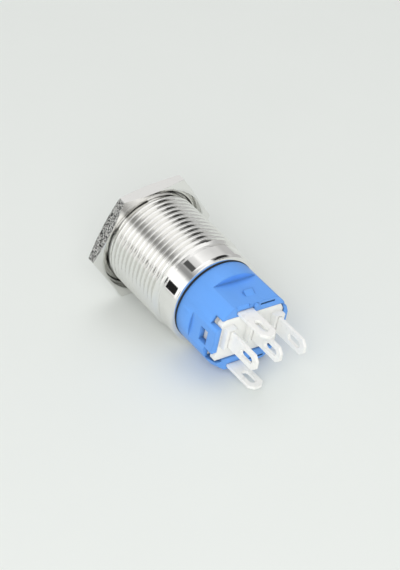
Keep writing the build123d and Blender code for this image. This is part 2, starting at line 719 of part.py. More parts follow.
def lamp_lug(side, start_y):
    origin = (LAMP_LUG_X, start_y, side * LAMP_LUG_Z)
    place = Plane(origin, x_dir=(0, 1, 0), z_dir=(0, 0, 1))
    return place.location * lug(start_y, LAMP_LUG_END_Y)


def contact_terminal(side):
    """A terminal at the end of the row, with a foot bent towards its contact."""
    x = side * ROW_PITCH
    blade = row_lug(x, INSERT_FRONT_Y)
    inner = side * (CONTACT_X - CONTACT_R - SLIP)
    outer = x + side * LUG_THICKNESS / 2
    foot = block(
        sorted((inner, outer)),
        (TAB_FRONT_Y, INSERT_FRONT_Y),
        (ROW_Z - LUG_WIDTH / 2, ROW_Z + LUG_WIDTH / 2),
    )
    return blade + foot


def common_terminal():
    """The middle terminal, whose front edge is the knife edge the blade rocks on."""
    edge_y = FULCRUM_Y + TOUCH
    half = LUG_THICKNESS / 2
    from_above = Polyline(
        (0, edge_y),
        (half, edge_y + LUG_THICKNESS),
        (half, INSERT_FRONT_Y),
        (-half, INSERT_FRONT_Y),
        (-half, edge_y + LUG_THICKNESS),
        close=True,
    )
    head = Pos(0, 0, ROW_Z - BLADE_WIDTH / 2) * extrude(make_face(from_above), BLADE_WIDTH)
    return row_lug(0, INSERT_FRONT_Y) + head


def lamp_terminal(side):
    """A lamp lug with the long tail and pin that reach the lamp board."""
    neck_y = NOTCH_FRONT_Y - 1 + SLIP
    thick = LUG_THICKNESS / 2
    middle = side * LAMP_LUG_Z
    tail = block(
        (LAMP_LUG_X - TAIL_WIDTH / 2, LAMP_LUG_X + TAIL_WIDTH / 2),
        (SPIGOT_FRONT_Y, neck_y),
        (middle - thick, middle + thick),
    )
    pin = lamp_pin_hole(side, (BOARD_FRONT_Y - PIN_PROUD, SPIGOT_FRONT_Y), 0)
    return lamp_lug(side, neck_y) + tail + pin


def rivet(x, seat_y, direction):
    """A domed contact that stands out of a seat along Y in this direction."""
    shoulder = CONTACT_HEIGHT - CONTACT_DOME
    head = Polyline(
        (0, 0),
        (CONTACT_R, 0),
        (CONTACT_R, shoulder),
        (CONTACT_R / 2, CONTACT_HEIGHT),
        (0, CONTACT_HEIGHT),
        close=True,
    )
    dome = revolve(make_face(head), Axis.Y)
    if direction < 0:
        dome = mirror(dome, Plane.XZ)
    return Pos(x, seat_y, ROW_Z) * dome


def fixed_contact(side):
    """The contact that is riveted to the foot of an end terminal."""
    height = TAB_FRONT_Y - CONTACT_Y
    head = rod(CONTACT_R, side * CONTACT_X, ROW_Z, (CONTACT_Y, TAB_FRONT_Y))
    return chamfer(head.edges().sort_by(Axis.Y)[0], height / 3)


# ---- latch and change-over blade

def latch_pin():
    """The bent wire that follows the heart cam: a pivot leg, an arm and a tip."""
    tip_z = BLOCK_Z - CAM_DEPTH + RUNNING
    pivot_z = INSERT_TOP_Z + PIN_PIVOT_LENGTH - SLIP
    bend = 2 * PIN_R
    path = FilletPolyline(
        (0, PIVOT_Y, pivot_z),
        (0, PIVOT_Y, PIN_Z),
        (0, CAM_START_Y, PIN_Z),
        (0, CAM_START_Y, tip_z),
        radius=bend,
    )
    section = Plane(origin=path @ 0, z_dir=path % 0) * RegularPolygon(PIN_R, 8)
    return sweep(section, path)


def latch_leaf():
    """The leaf spring that holds the latch pin down in its groove."""
    thick = LEAF_THICKNESS
    low = LEAF_Z
    high = CEILING_Z - thick
    press = (CAM_START_Y - LEAF_PRESS / 3, CAM_START_Y + 2 * LEAF_PRESS / 3)
    slope = press[0] - LEAF_SLOPE
    front = slope - LEAF_FOOT
    rear = press[1] + LEAF_PRESS
    side_view = Polyline(
        (front, high + thick),
        (front, high),
        (slope, high),
        (press[0], low),
        (press[1], low),
        (rear, high),
        (rear, high + thick),
        (press[1], low + thick),
        (press[0], low + thick),
        (slope, high + thick),
        close=True,
    )
    return extrude(Plane.YZ * make_face(side_view), LEAF_WIDTH / 2, both=True)


def blade_pose():
    """The blade's place at rest: rocked on the knife edge to the closed contact."""
    return Pos(0, FULCRUM_Y, 0) * Rot(0, 0, -BLADE_TILT) * Pos(0, -FULCRUM_Y, 0)


def contact_blade():
    strip = block(
        (-BLADE_LENGTH / 2, BLADE_LENGTH / 2),
        (BLADE_FRONT_Y, FULCRUM_Y),
        (ROW_Z - BLADE_WIDTH / 2, ROW_Z + BLADE_WIDTH / 2),
    )
    return blade_pose() * chamfer(strip.edges().filter_by(Axis.Y), EDGE)


def moving_contact(side):
    return blade_pose() * rivet(side * CONTACT_X, FULCRUM_Y, 1)


def blade_front_at(x):
    """Where the front of the tilted blade is, at this x."""
    tilt = radians(BLADE_TILT)
    return FULCRUM_Y - BLADE_THICKNESS / cos(tilt) - x * tan(tilt)


def contact_spring():
    rear = blade_front_at(CONTACT_SPRING_X) - CONTACT_SPRING[0] * tan(radians(BLADE_TILT))
    return coil(CONTACT_SPRING, CONTACT_POCKET_Y, rear, CONTACT_SPRING_X, CONTACT_SPRING_Z)


def bias_spring():
    rear = blade_front_at(BIAS_SPRING_X) - BIAS_SPRING[0] * tan(radians(BLADE_TILT))
    return coil(BIAS_SPRING, BIAS_POCKET_Y, rear, BIAS_SPRING_X, ROW_Z)


# ---- write every piece

def switch_pieces():
    """Every piece that turns with the switch, drawn with the housing's flats square."""
    pieces = {
        "barrel": barrel(),
        "button_cap": button_cap(),
        "cap_seal": cap_seal(),
        "button_stem": button_stem(),
        "return_spring": return_spring(),
        "light_guide": light_guide(),
        "led_board": led_board(),
        "led_resistor": led_resistor(),
        "rear_housing": rear_housing(),
        "terminal_insert": terminal_insert(),
        "barrel_gasket": barrel_gasket(),
        "terminal_open": contact_terminal(1),
        "terminal_closed": contact_terminal(-1),
        "terminal_common": common_terminal(),
        "terminal_lamp_upper": lamp_terminal(1),
        "terminal_lamp_lower": lamp_terminal(-1),
        "fixed_contact_open": fixed_contact(1),
        "fixed_contact_closed": fixed_contact(-1),
        "moving_contact_open": moving_contact(1),
        "moving_contact_closed": moving_contact(-1),
        "contact_blade": contact_blade(),
        "contact_spring": contact_spring(),
        "bias_spring": bias_spring(),
        "latch_pin": latch_pin(),
        "latch_leaf": latch_leaf(),
    }
    for index in range(LED_COUNT):
        pieces[f"led_{index + 1}"] = led(index)
    return pieces


def write_parts():
    os.makedirs("parts", exist_ok=True)
    turn = Rot(0, -BODY_TURN, 0)
    for node, piece in switch_pieces().items():
        export_step(turn * piece, f"parts/{node}.step")
    export_step(mounting_nut(), "parts/mounting_nut.step")
    swing = degrees(asin(CAM_REACH / PIN_LENGTH))
    print(f"latch pin swings {swing:.3f} degrees, pivot at y {PIVOT_Y:.3f}")
    print(f"blade rocks {2 * BLADE_TILT:.1f} degrees about y {FULCRUM_Y:.3f}")


write_parts()
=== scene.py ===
import json
import math

import bpy
from bpy.props import FloatProperty, FloatVectorProperty, IntProperty, PointerProperty
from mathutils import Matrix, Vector


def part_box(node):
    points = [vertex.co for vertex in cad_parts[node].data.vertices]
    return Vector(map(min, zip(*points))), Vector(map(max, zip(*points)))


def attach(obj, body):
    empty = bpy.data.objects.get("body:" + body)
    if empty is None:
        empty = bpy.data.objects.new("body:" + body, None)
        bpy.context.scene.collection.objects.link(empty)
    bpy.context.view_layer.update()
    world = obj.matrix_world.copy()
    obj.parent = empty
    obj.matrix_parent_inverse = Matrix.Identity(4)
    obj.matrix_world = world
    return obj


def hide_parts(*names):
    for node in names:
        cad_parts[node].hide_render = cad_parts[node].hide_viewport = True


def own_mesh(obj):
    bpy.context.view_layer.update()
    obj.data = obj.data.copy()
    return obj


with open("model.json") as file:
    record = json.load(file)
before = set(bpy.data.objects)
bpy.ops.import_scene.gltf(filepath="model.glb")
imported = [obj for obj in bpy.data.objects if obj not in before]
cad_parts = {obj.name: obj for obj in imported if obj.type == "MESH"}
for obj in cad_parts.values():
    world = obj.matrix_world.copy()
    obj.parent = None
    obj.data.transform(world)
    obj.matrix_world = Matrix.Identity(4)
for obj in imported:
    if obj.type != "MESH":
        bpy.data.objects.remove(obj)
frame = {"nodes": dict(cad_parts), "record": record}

bl_info = {
    "name": "Latching push button switch",
    "version": (1, 0, 0),
    "blender": (4, 5, 0),
    "location": "3D View > Sidebar > Switch",
    "description": "Builds the finish of a panel push button with a threaded nickel barrel",
    "category": "Object",
}

MM = 0.001
MOUNTS = {mount["name"]: mount for mount in frame["record"]["mounts"]}
THREAD = MOUNTS["panel_thread"]["dims"]
BARREL_LOW, BARREL_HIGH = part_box("barrel")
NUT_LOW, NUT_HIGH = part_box("mounting_nut")


# ---- sizes and colours that a user may change

class SwitchSizes(bpy.types.PropertyGroup):
    """Lengths of the turned and milled metal pieces."""

    thread_radius: FloatProperty(
        name="Thread radius",
        description="From the axis to the crest of the thread",
        default=THREAD["r_mm"] * MM,
        unit="LENGTH",
        subtype="DISTANCE",
    )
    thread_length: FloatProperty(
        name="Thread length",
        description="Length of thread and groove behind the nut",
        default=THREAD["length_mm"] * MM,
        unit="LENGTH",
        subtype="DISTANCE",
    )
    thread_pitch: FloatProperty(
        name="Thread pitch",
        description="Distance from one crest to the next",
        default=1.0 * MM,
        unit="LENGTH",
        subtype="DISTANCE",
    )
    thread_depth: FloatProperty(
        name="Thread depth",
        description="From the crest to the root",
        default=0.56 * MM,
        unit="LENGTH",
        subtype="DISTANCE",
    )
    thread_start: FloatProperty(
        name="Thread start",
        description="Turn of the thread's start about the axis",
        default=math.radians(25),
        unit="ROTATION",
        subtype="ANGLE",
    )
    neck_radius: FloatProperty(
        name="Neck radius",
        description="Radius inside the nut and of the smooth band",
        default=7.7 * MM,
        unit="LENGTH",
        subtype="DISTANCE",
    )
    groove_radius: FloatProperty(
        name="Groove radius",
        description="Radius of the groove behind the thread",
        default=7.45 * MM,
        unit="LENGTH",
        subtype="DISTANCE",
    )
    groove_length: FloatProperty(
        name="Groove length",
        description="Length of the groove behind the thread",
        default=0.7 * MM,
        unit="LENGTH",
        subtype="DISTANCE",
    )
    rim_radius: FloatProperty(
        name="Rim radius",
        description="Radius of the rolled rim behind the taper",
        default=7.63 * MM,
        unit="LENGTH",
        subtype="DISTANCE",
    )
    rim_length: FloatProperty(
        name="Rim length",
        description="Length of the taper and the rolled rim behind the band",
        default=0.75 * MM,
        unit="LENGTH",
        subtype="DISTANCE",
    )
    bore_radius: FloatProperty(
        name="Bore radius",
        description="Inside radius of the barrel",
        default=6.6 * MM,
        unit="LENGTH",
        subtype="DISTANCE",
    )
    lip_radius: FloatProperty(
        name="Lip radius",
        description="Opening at the front of the barrel",
        default=6.2 * MM,
        unit="LENGTH",
        subtype="DISTANCE",
    )
    lip_length: FloatProperty(
        name="Lip length",
        description="Length of the lip at the front of the barrel",
        default=1.0 * MM,
        unit="LENGTH",
        subtype="DISTANCE",
    )
    edge: FloatProperty(
        name="Edge",
        description="Chamfer on turned edges",
        default=0.3 * MM,
        unit="LENGTH",
        subtype="DISTANCE",
    )
    nut_chamfer_inset: FloatProperty(
        name="Nut chamfer inset",
        description="From a flat in to the circle where the corner chamfer starts",
        default=0.05 * MM,
        unit="LENGTH",
        subtype="DISTANCE",
    )
    nut_chamfer_angle: FloatProperty(
        name="Nut chamfer angle",
        description="Slope of the corner chamfers",
        default=math.radians(15),
        unit="ROTATION",
        subtype="ANGLE",
    )
    nut_sink_inset: FloatProperty(
        name="Nut countersink inset",
        description="From a flat in to the mouth of the countersink",
        default=0.35 * MM,
        unit="LENGTH",
        subtype="DISTANCE",
    )
    nut_sink_angle: FloatProperty(
        name="Nut countersink angle",
        description="Slope of the countersink from the nut's face",
        default=math.radians(30),
        unit="ROTATION",
        subtype="ANGLE",
    )
    nut_clearance: FloatProperty(
        name="Nut clearance",
        description="Between the nut's bore and the neck",
        default=0.05 * MM,
        unit="LENGTH",
        subtype="DISTANCE",
    )
    columns: IntProperty(
        name="Columns",
        description="Faces round each turned piece",
        default=192,
        min=24,
    )
    thread_samples: IntProperty(
        name="Thread samples",
        description="Rows of faces along one pitch of the thread",
        default=16,
        min=6,
    )


class SwitchColours(bpy.types.PropertyGroup):
    """Colours of the switch and its stage."""

    nickel: FloatVectorProperty(
        name="Nickel",
        description="Bright nickel plating",
        subtype="COLOR",
        size=4,
        default=(0.85, 0.845, 0.822, 1),
    )
    silver: FloatVectorProperty(
        name="Silver",
        description="Silver plating of the lugs",
        subtype="COLOR",
        size=4,
        default=(0.97, 0.965, 0.94, 1),
    )
    blue: FloatVectorProperty(
        name="Blue",
        description="Moulding of the rear housing",
        subtype="COLOR",
        size=4,
        default=(0.135, 0.38, 0.92, 1),
    )
    white: FloatVectorProperty(
        name="White",
        description="Moulding of the terminal insert",
        subtype="COLOR",
        size=4,
        default=(0.93, 0.93, 0.905, 1),
    )
    rubber: FloatVectorProperty(
        name="Rubber",
        description="Seal under the button and gasket behind the barrel",
        subtype="COLOR",
        size=4,
        default=(0.012, 0.012, 0.013, 1),
    )
    stem: FloatVectorProperty(
        name="Stem",
        description="Acetal of the stem behind the button",
        subtype="COLOR",
        size=4,
        default=(0.85, 0.85, 0.83, 1),
    )
    ring: FloatVectorProperty(
        name="Ring",
        description="Frosted ring that carries the light round the button",
        subtype="COLOR",
        size=4,
        default=(0.93, 0.95, 0.93, 1),
    )
    board: FloatVectorProperty(
        name="Board",
        description="Solder mask of the lamp board",
        subtype="COLOR",
        size=4,
        default=(0.80, 0.82, 0.77, 1),
    )
    track: FloatVectorProperty(
        name="Track",
        description="Solder mask where it lies over a copper track",
        subtype="COLOR",
        size=4,
        default=(0.66, 0.70, 0.58, 1),
    )
    lamp: FloatVectorProperty(
        name="Lamp",
        description="Phosphor of the small lamps",
        subtype="COLOR",
        size=4,
        default=(0.93, 0.80, 0.34, 1),
    )
    glaze: FloatVectorProperty(
        name="Glaze",
        description="Glaze of the resistor",
        subtype="COLOR",
        size=4,
        default=(0.03, 0.03, 0.035, 1),
    )
    contact: FloatVectorProperty(
        name="Contact",
        description="Silver of the contacts that meet",
        subtype="COLOR",
        size=4,
        default=(0.86, 0.86, 0.84, 1),
    )
    steel: FloatVectorProperty(
        name="Steel",
        description="Steel of the coil springs and the latch's wire",
        subtype="COLOR",
        size=4,
        default=(0.58, 0.58, 0.57, 1),
    )
    bronze: FloatVectorProperty(
        name="Bronze",
        description="Bronze of the contact blade and the latch's leaf",
        subtype="COLOR",
        size=4,
        default=(0.74, 0.47, 0.25, 1),
    )
    floor: FloatVectorProperty(
        name="Floor",
        description="Sheet that the switch lies on",
        subtype="COLOR",
        size=4,
        default=(0.85, 0.88, 0.85, 1),
    )


class SwitchStage(bpy.types.PropertyGroup):
    """Camera, floor and lamps."""

    camera_place: FloatVectorProperty(
        name="Camera place",
        description="Where the camera stands",
        unit="LENGTH",
        subtype="TRANSLATION",
        default=(116.283 * MM, 162.487 * MM, 169.497 * MM),
    )
    camera_aim: FloatVectorProperty(
        name="Camera aim",
        description="Direction in which the camera looks",
        subtype="DIRECTION",
        default=(-0.45699, -0.590041, -0.665592),
    )
    camera_up: FloatVectorProperty(
        name="Camera up",
        description="Direction of the camera's upper side",
        subtype="DIRECTION",
        default=(-0.352399, -0.566961, 0.74456),
    )
    lens: FloatProperty(
        name="Lens",
        description="Focal length in millimetres",
        default=107.38,
        unit="CAMERA",
    )
    floor_size: FloatProperty(
        name="Floor size",
        description="Length of the floor's side",
        default=1.6,
        unit="LENGTH",
        subtype="DISTANCE",
    )
    overhead_power: FloatProperty(
        name="Overhead power",
        description="Power of the soft lamp overhead",
        default=0.9,
        unit="POWER",
    )
    front_power: FloatProperty(
        name="Front power",
        description="Power of the soft lamp on the camera's side",
        default=2.6,
        unit="POWER",
    )
    world_light: FloatProperty(
        name="Room light",
        description="Even light from all round, as everything but the metal sees it",
        default=0.5,
        min=0,
    )


# ---- shader nodes written as expressions

class Value:
    """An output of a node, with arithmetic that adds Math nodes."""

    def __init__(self, tree, socket):
        self.tree = tree
        self.socket = socket

    def math(self, operation, *operands):
        inputs = dict(enumerate(operands))
        return self.tree.node("ShaderNodeMath", {"operation": operation}, inputs)

    def __add__(self, other):
        return self.math("ADD", self, other)

    def __radd__(self, other):
        return self.math("ADD", other, self)

    def __sub__(self, other):
        return self.math("SUBTRACT", self, other)

    def __rsub__(self, other):
        return self.math("SUBTRACT", other, self)

    def __mul__(self, other):
        return self.math("MULTIPLY", self, other)

    def __rmul__(self, other):
        return self.math("MULTIPLY", other, self)

    def __truediv__(self, other):
        return self.math("DIVIDE", self, other)

    def __rtruediv__(self, other):
        return self.math("DIVIDE", other, self)

    def __pow__(self, other):
        return self.math("POWER", self, other)

    def __rpow__(self, other):
        return self.math("POWER", other, self)

    def absolute(self):
        return self.math("ABSOLUTE", self)

    def step(self, start, end):
        """0 below start and 1 above end, with a smooth change between them.

        Where start is the larger, it is 0 above start and 1 below end.
        """
        return self.tree.node(
            "ShaderNodeMapRange",
            {"interpolation_type": "SMOOTHSTEP"},
            {"Value": self, "From Min": start, "From Max": end},
        )


class Tree:
    """A node tree, to which one method adds every node."""

    def __init__(self, owner):
        owner.use_nodes = True
        self.nodes = owner.node_tree.nodes
        self.links = owner.node_tree.links

    def node(self, kind, settings=None, inputs=None, output=0):
        """Adds a node: its settings first, then a value or a link for each named socket."""
        node = self.nodes.new(kind)
        for name, setting in (settings or {}).items():
            if name == "stops":
                self.set_stops(node.color_ramp, setting)
            else:
                setattr(node, name, setting)
        for name, value in (inputs or {}).items():
            self.put(node.inputs[name], value)
        return Value(self, node.outputs[output])

    def put(self, socket, value):
        """Links a value to a socket, or sets the socket's constant."""
        if isinstance(value, Value):
            self.links.new(value.socket, socket)
        else:
            socket.default_value = value

    @staticmethod
    def set_stops(ramp, stops):
        """Gives a colour ramp its stops, each a position and a colour."""
        while len(ramp.elements) < len(stops):
            ramp.elements.new(0.5)
        for element, (position, colour) in zip(ramp.elements, stops):
            element.position = position
            element.color = colour

    def place(self):
        """Place on the object, in metres."""
        return self.node("ShaderNodeTexCoord", output="Object")

    def axes(self, vector):
        """The three numbers of a vector."""
        x = self.node("ShaderNodeSeparateXYZ", None, {"Vector": vector})
        return [Value(self, socket) for socket in x.socket.node.outputs]

    def from_axis(self, vector):
        """Distance from the switch's axis."""
        x, _, z = self.axes(vector)
        return (x * x + z * z) ** 0.5

    def stretched(self, vector, scale):
        """A vector with each of its axes multiplied."""
        return self.node(
            "ShaderNodeVectorMath", {"operation": "MULTIPLY"}, {0: vector, 1: scale}
        )

    def noise(self, vector, size, detail=2.0, roughness=0.5):
        """Cloudy noise from 0 to 1 whose lumps are about this size."""
        return self.node(
            "ShaderNodeTexNoise",
            {"noise_dimensions": "3D"},
            {"Vector": vector, "Scale": 1 / size, "Detail": detail, "Roughness": roughness},
        )

    def openness_for_painted_shade(self, reach):
        """How open the surface is to the air around it: 1 on a face, less down in a recess. The
        finishes darken their colour by it, which paints shade into hollows.
        """
        return self.node(
            "ShaderNodeAmbientOcclusion",
            {"samples": 8},
            {"Distance": reach},
            output="AO",
        )

    def mix(self, factor, first, second):
        """A colour between two colours."""
        return self.node(
            "ShaderNodeMix",
            {"data_type": "RGBA"},
            {"Factor": factor, 6: first, 7: second},
            output=2,
        )


class Finish(Tree):
    """A material for one kind of surface."""

    def __init__(self, name, colour, **surface):
        self.material = bpy.data.materials.new(name)
        super().__init__(self.material)
        self.shader = self.nodes["Principled BSDF"]
        self.colour = tuple(colour)
        self.set(base_color=self.colour, **surface)

    def set(self, **surface):
        """Sets the shader's sockets, named in small letters with underscores."""
        for name, value in surface.items():
            socket = name.replace("_", " ").title().replace("Ior", "IOR")
            self.put(self.shader.inputs[socket], value)

    def shade(self, factor):
        """The finish's own colour, darkened where factor is below 1."""
        black = (0, 0, 0, 1)
        return self.mix(factor, black, self.colour)

    def bump(self, height, distance, rounding=0.0):
        """Raises the surface by height times distance, over creases rounded to this radius."""
        inputs = {"Height": height, "Distance": distance}
        if rounding:
            inputs["Normal"] = self.node("ShaderNodeBevel", {"samples": 6}, {"Radius": rounding})
        self.set(normal=self.node("ShaderNodeBump", None, inputs))


# ---- finishes

def nickel_finish(colour, band_front):
    """Bright plating over turned brass, with turning marks on the thread, a smooth band, and
    painted shade in the thread's roots and other hollows.
    """
    blend = 0.05 * MM
    root_reach = 0.5 * MM
    mark_depth = 0.013 * MM
    finish = Finish("barrel_nickel", colour, metallic=1.0)
    place = finish.place()
    _, y, _ = finish.axes(place)
    thread = y.step(band_front + blend, band_front - blend)
    marks = finish.noise(finish.stretched(place, (1, 6, 1)), 0.9 * MM, 3, 0.6)
    haze = finish.noise(place, 2.5 * MM, 3)
    grain = finish.noise(place, 0.25 * MM, 2)
    finish.set(roughness=0.045 + thread * (0.03 + 0.05 * haze.step(0.45, 0.8) + 0.03 * marks))
    base_tone = 0.96 + 0.04 * haze.step(0.3, 0.6)
    # Painted shade: the colour darkens down in the thread's roots and other hollows, where shade
    # falls.
    painted_hollow_shade = 0.6 + 0.4 * finish.openness_for_painted_shade(root_reach).step(0.1, 0.7)
    finish.set(base_color=finish.shade(base_tone * painted_hollow_shade))
    finish.bump((0.1 + 0.9 * thread) * (marks + 0.6 * grain), mark_depth)
    return finish.material


def nut_nickel_finish(colour):
    """Plating over the nut: two opposite flats pitted by the saw and darker in their low spots,
    the others drawn smooth, with painted shade where the nut is hemmed in near its bore and the
    thread.
    """
    sawn_angle = math.radians(60)
    pit_depth = 0.12 * MM
    bore_reach = 0.8 * MM
    finish = Finish("nut_nickel", colour, metallic=1.0)
    place = finish.place()
    x, _, z = finish.axes(place)
    across = (x * math.sin(sawn_angle) + z * math.cos(sawn_angle)).absolute()
    sawn = across.step(NUT_HIGH.z - 0.05 * MM, NUT_HIGH.z - 0.02 * MM)
    pits = finish.noise(place, 0.28 * MM, 1, 0.5).step(0.42, 0.60)
    marks = finish.noise(finish.stretched(place, (1, 4, 1)), 1.4 * MM, 2)
    finish.set(roughness=0.07 + 0.05 * marks)
    # The sawn flats are darker in the low spots of their pitted surface.
    base_tone = 1 - 0.65 * sawn * (1 - pits)
    # Painted shade: the colour darkens where the nut is hemmed in, near its bore and the thread.
    painted_hollow_shade = 0.85 + 0.15 * finish.openness_for_painted_shade(bore_reach).step(0.2, 0.6)
    finish.set(base_color=finish.shade(base_tone * painted_hollow_shade))
    finish.bump(sawn * pits + (1 - sawn) * 0.04 * marks, pit_depth)
    return finish.material


def brushed_nickel_finish(colour):
    """Plating over the button's face, which was turned in fine circles."""
    ring_size = 0.09 * MM
    finish = Finish("button_nickel", colour, metallic=1.0)
    place = finish.place()
    rings = finish.node(
        "ShaderNodeTexNoise",
        {"noise_dimensions": "1D"},
        {"W": finish.from_axis(place), "Scale": 1 / ring_size, "Detail": 2.0},
    )
    wear = finish.noise(place, 1.8 * MM, 4)
    finish.set(roughness=0.2 + 0.12 * wear.step(0.4, 0.75))
    finish.bump(rings, 0.008 * MM)
    return finish.material


def moulded_finish(name, colour, roughness, painted_recess_shade=0.7):
    """A satin moulding with a spark-eroded grain and faint flow marks, and painted shade darkening
    its recesses.
    """
    recess_reach = 1.2 * MM
    grain_depth = 0.004 * MM
    crease_radius = 0.25 * MM
    finish = Finish(name, colour, ior=1.5)
    place = finish.place()
    flow = finish.noise(finish.stretched(place, (1, 0.35, 1)), 3.2 * MM, 3)
    fine = finish.noise(place, 0.09 * MM, 2)
    # Painted shade: the colour darkens down in recesses, slits and windows, where shade falls.
    recess = 1 - finish.openness_for_painted_shade(recess_reach).step(0.1, 0.9)
    flow_shade = 1 - 0.06 * flow.step(0.42, 0.7)
    finish.set(base_color=finish.shade(flow_shade * (1 - painted_recess_shade * recess)))
    finish.set(roughness=roughness + 0.08 * fine)
    finish.bump(fine, grain_depth, rounding=crease_radius)
    return finish.material


def plated_strip_finish(colour):
    """Matt silver plating on stamped strip, with rolling marks along it and darker spots."""
    finish = Finish("silver_strip", colour)
    place = finish.place()
    rolled = finish.noise(finish.stretched(place, (5, 0.5, 5)), 0.8 * MM, 3, 0.6)
    spots = finish.noise(place, 0.9 * MM, 3)
    finish.set(metallic=0.32 - 0.12 * rolled, roughness=0.42 + 0.14 * rolled)
    finish.set(base_color=finish.shade(1 - 0.08 * spots.step(0.55, 0.75)))
    finish.bump(rolled, 0.006 * MM)
    return finish.material


def rubber_finish(colour):
    """Matt black rubber with a powdery bloom."""
    finish = Finish("black_rubber", colour, roughness=0.62)
    place = finish.place()
    bloom = finish.noise(place, 0.6 * MM, 4)
    finish.set(base_color=finish.shade(0.5 + bloom))
    finish.bump(finish.noise(place, 0.08 * MM), 0.006 * MM)
    return finish.material


def frosted_finish(colour):
    """The frosted ring that carries the light round the button."""
    finish = Finish(
        "frosted_ring",
        colour,
        transmission_weight=0.55,
        ior=1.5,
        subsurface_weight=0.3,
        subsurface_radius=(1 * MM, 1 * MM, 1 * MM),
    )
    place = finish.place()
    frost = finish.noise(place, 0.07 * MM, 2)
    finish.set(roughness=0.38 + 0.12 * frost)
    finish.bump(frost, 0.005 * MM)
    return finish.material


def wire_finish(name, colour, roughness):
    """Drawn wire or rolled strip, with faint die marks and oil film."""
    finish = Finish(name, colour, metallic=1.0)
    place = finish.place()
    film = finish.noise(place, 0.7 * MM, 3)
    lines = finish.noise(finish.stretched(place, (2, 8, 2)), 0.5 * MM, 2)
    finish.set(roughness=roughness + 0.15 * film)
    finish.set(base_color=finish.shade(1 - 0.15 * film.step(0.5, 0.8)))
    finish.bump(lines, 0.004 * MM)
    return finish.material


def board_finish(colour, track_colour):
    """White solder mask over a copper track that runs round the ring."""
    track_radius = 5.45 * MM
    track_half_width = 0.22 * MM
    finish = Finish("lamp_board", colour, roughness=0.35)
    place = finish.place()
    from_track = (finish.from_axis(place) - track_radius).absolute()
    track = (from_track / track_half_width).step(1.15, 0.85)
    weave = finish.noise(place, 0.12 * MM, 1)
    finish.set(base_color=finish.mix(track, finish.colour, tuple(track_colour)))
    finish.bump(track + 0.15 * weave, 0.03 * MM)
    return finish.material


def lamp_finish(colour):
    """A small lamp: yellow phosphor under clear resin."""
    finish = Finish("lamp_resin", colour, roughness=0.18, coat_weight=0.4)
    place = finish.place()
    cloud = finish.noise(place, 0.35 * MM, 2)
    finish.set(base_color=finish.shade(0.8 + 0.2 * cloud))
    return finish.material


def chip_finish(colour):
    """The black glaze of a chip resistor."""
    finish = Finish("resistor_glaze", colour, roughness=0.3)
    speck = finish.noise(finish.place(), 0.2 * MM, 3)
    finish.set(base_color=finish.shade(0.7 + 0.6 * speck))
    return finish.material


# ---- mesh helpers

def turned_point(radius, y, angle):
    """A point at this radius and angle, which grows from +Z towards +X."""
    return Vector((radius * math.sin(angle), y, radius * math.cos(angle)))


def new_mesh(name, points, faces):
    """A mesh from its points and each face's point numbers."""
    mesh = bpy.data.meshes.new(name)
    mesh.from_pydata(points, [], faces)
    mesh.validate()
    return mesh


def loop_mesh(name, outline, columns):
    """A closed ring made from outline(angle), the (radius, y) points round its section.

    The points run so that the section is on their left, seen with +Y up and the radius to the
    right.
    """
    angles = [2 * math.pi * column / columns for column in range(columns)]
    points = []
    for angle in angles:
        points += [turned_point(radius, y, angle) for radius, y in outline(angle)]
    count = len(points) // columns
    faces = []
    for column in range(columns):
        here = column * count
        there = (column + 1) % columns * count
        for row in range(count):
            next_row = (row + 1) % count
            faces.append((here + row, here + next_row, there + next_row, there + row))
    return new_mesh(name, points, faces)


def add_piece(mesh, material, body, replaced):
    """Puts a mesh in the scene as the visible form of a CAD node."""
    mesh.materials.append(material)
    piece = bpy.data.objects.new(mesh.name, mesh)
    bpy.context.scene.collection.objects.link(piece)
    for polygon in mesh.polygons:
        polygon.use_smooth = True
    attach(piece, body)
    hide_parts(replaced)
    return piece


def sharpen(mesh, degrees):
    """Marks edges sharper than this as creases in the shading."""
    mesh.set_sharp_from_angle(angle=math.radians(degrees))


def round_edges(piece, name, width, degrees):
    """Rounds the edges of an object that turn by more than this."""
    bevel = piece.modifiers.new(name, "BEVEL")
    bevel.limit_method = "ANGLE"
    bevel.angle_limit = math.radians(degrees)
    bevel.width = width
    bevel.segments = 2
    bevel.harden_normals = True


def soften(node, width):
    """Joins the corners of a CAD node's mesh and rounds its edges."""
    cad = frame["nodes"][node]
    weld = cad.modifiers.new("joined corners", "WELD")
    weld.merge_threshold = 0.001 * MM
    round_edges(cad, "moulded edges", width, 30)


def clothe(node, material):
    """Gives a CAD node's object a finish."""
    cad = frame["nodes"][node]
    if not cad.material_slots:
        cad.data.materials.append(material)
    for material_slot in cad.material_slots:
        material_slot.material = material


# ---- the barrel

def thread_height(phase):
    """Height of the thread, from 0 at the root to 1 at the crest, over one pitch.

    A whole phase is at a crest and a half phase at a root. The flanks are partly straight, and the
    shares of the half pitch where they start and end leave a flat root and crest.
    """
    from_root = abs(2 * (phase % 1) - 1)
    flank_start, flank_end = 0.05, 0.82
    straightness = 0.4
    flank = min(1.0, max(0.0, (from_root - flank_start) / (flank_end - flank_start)))
    rounded = flank * flank * (3 - 2 * flank)
    return straightness * flank + (1 - straightness) * rounded


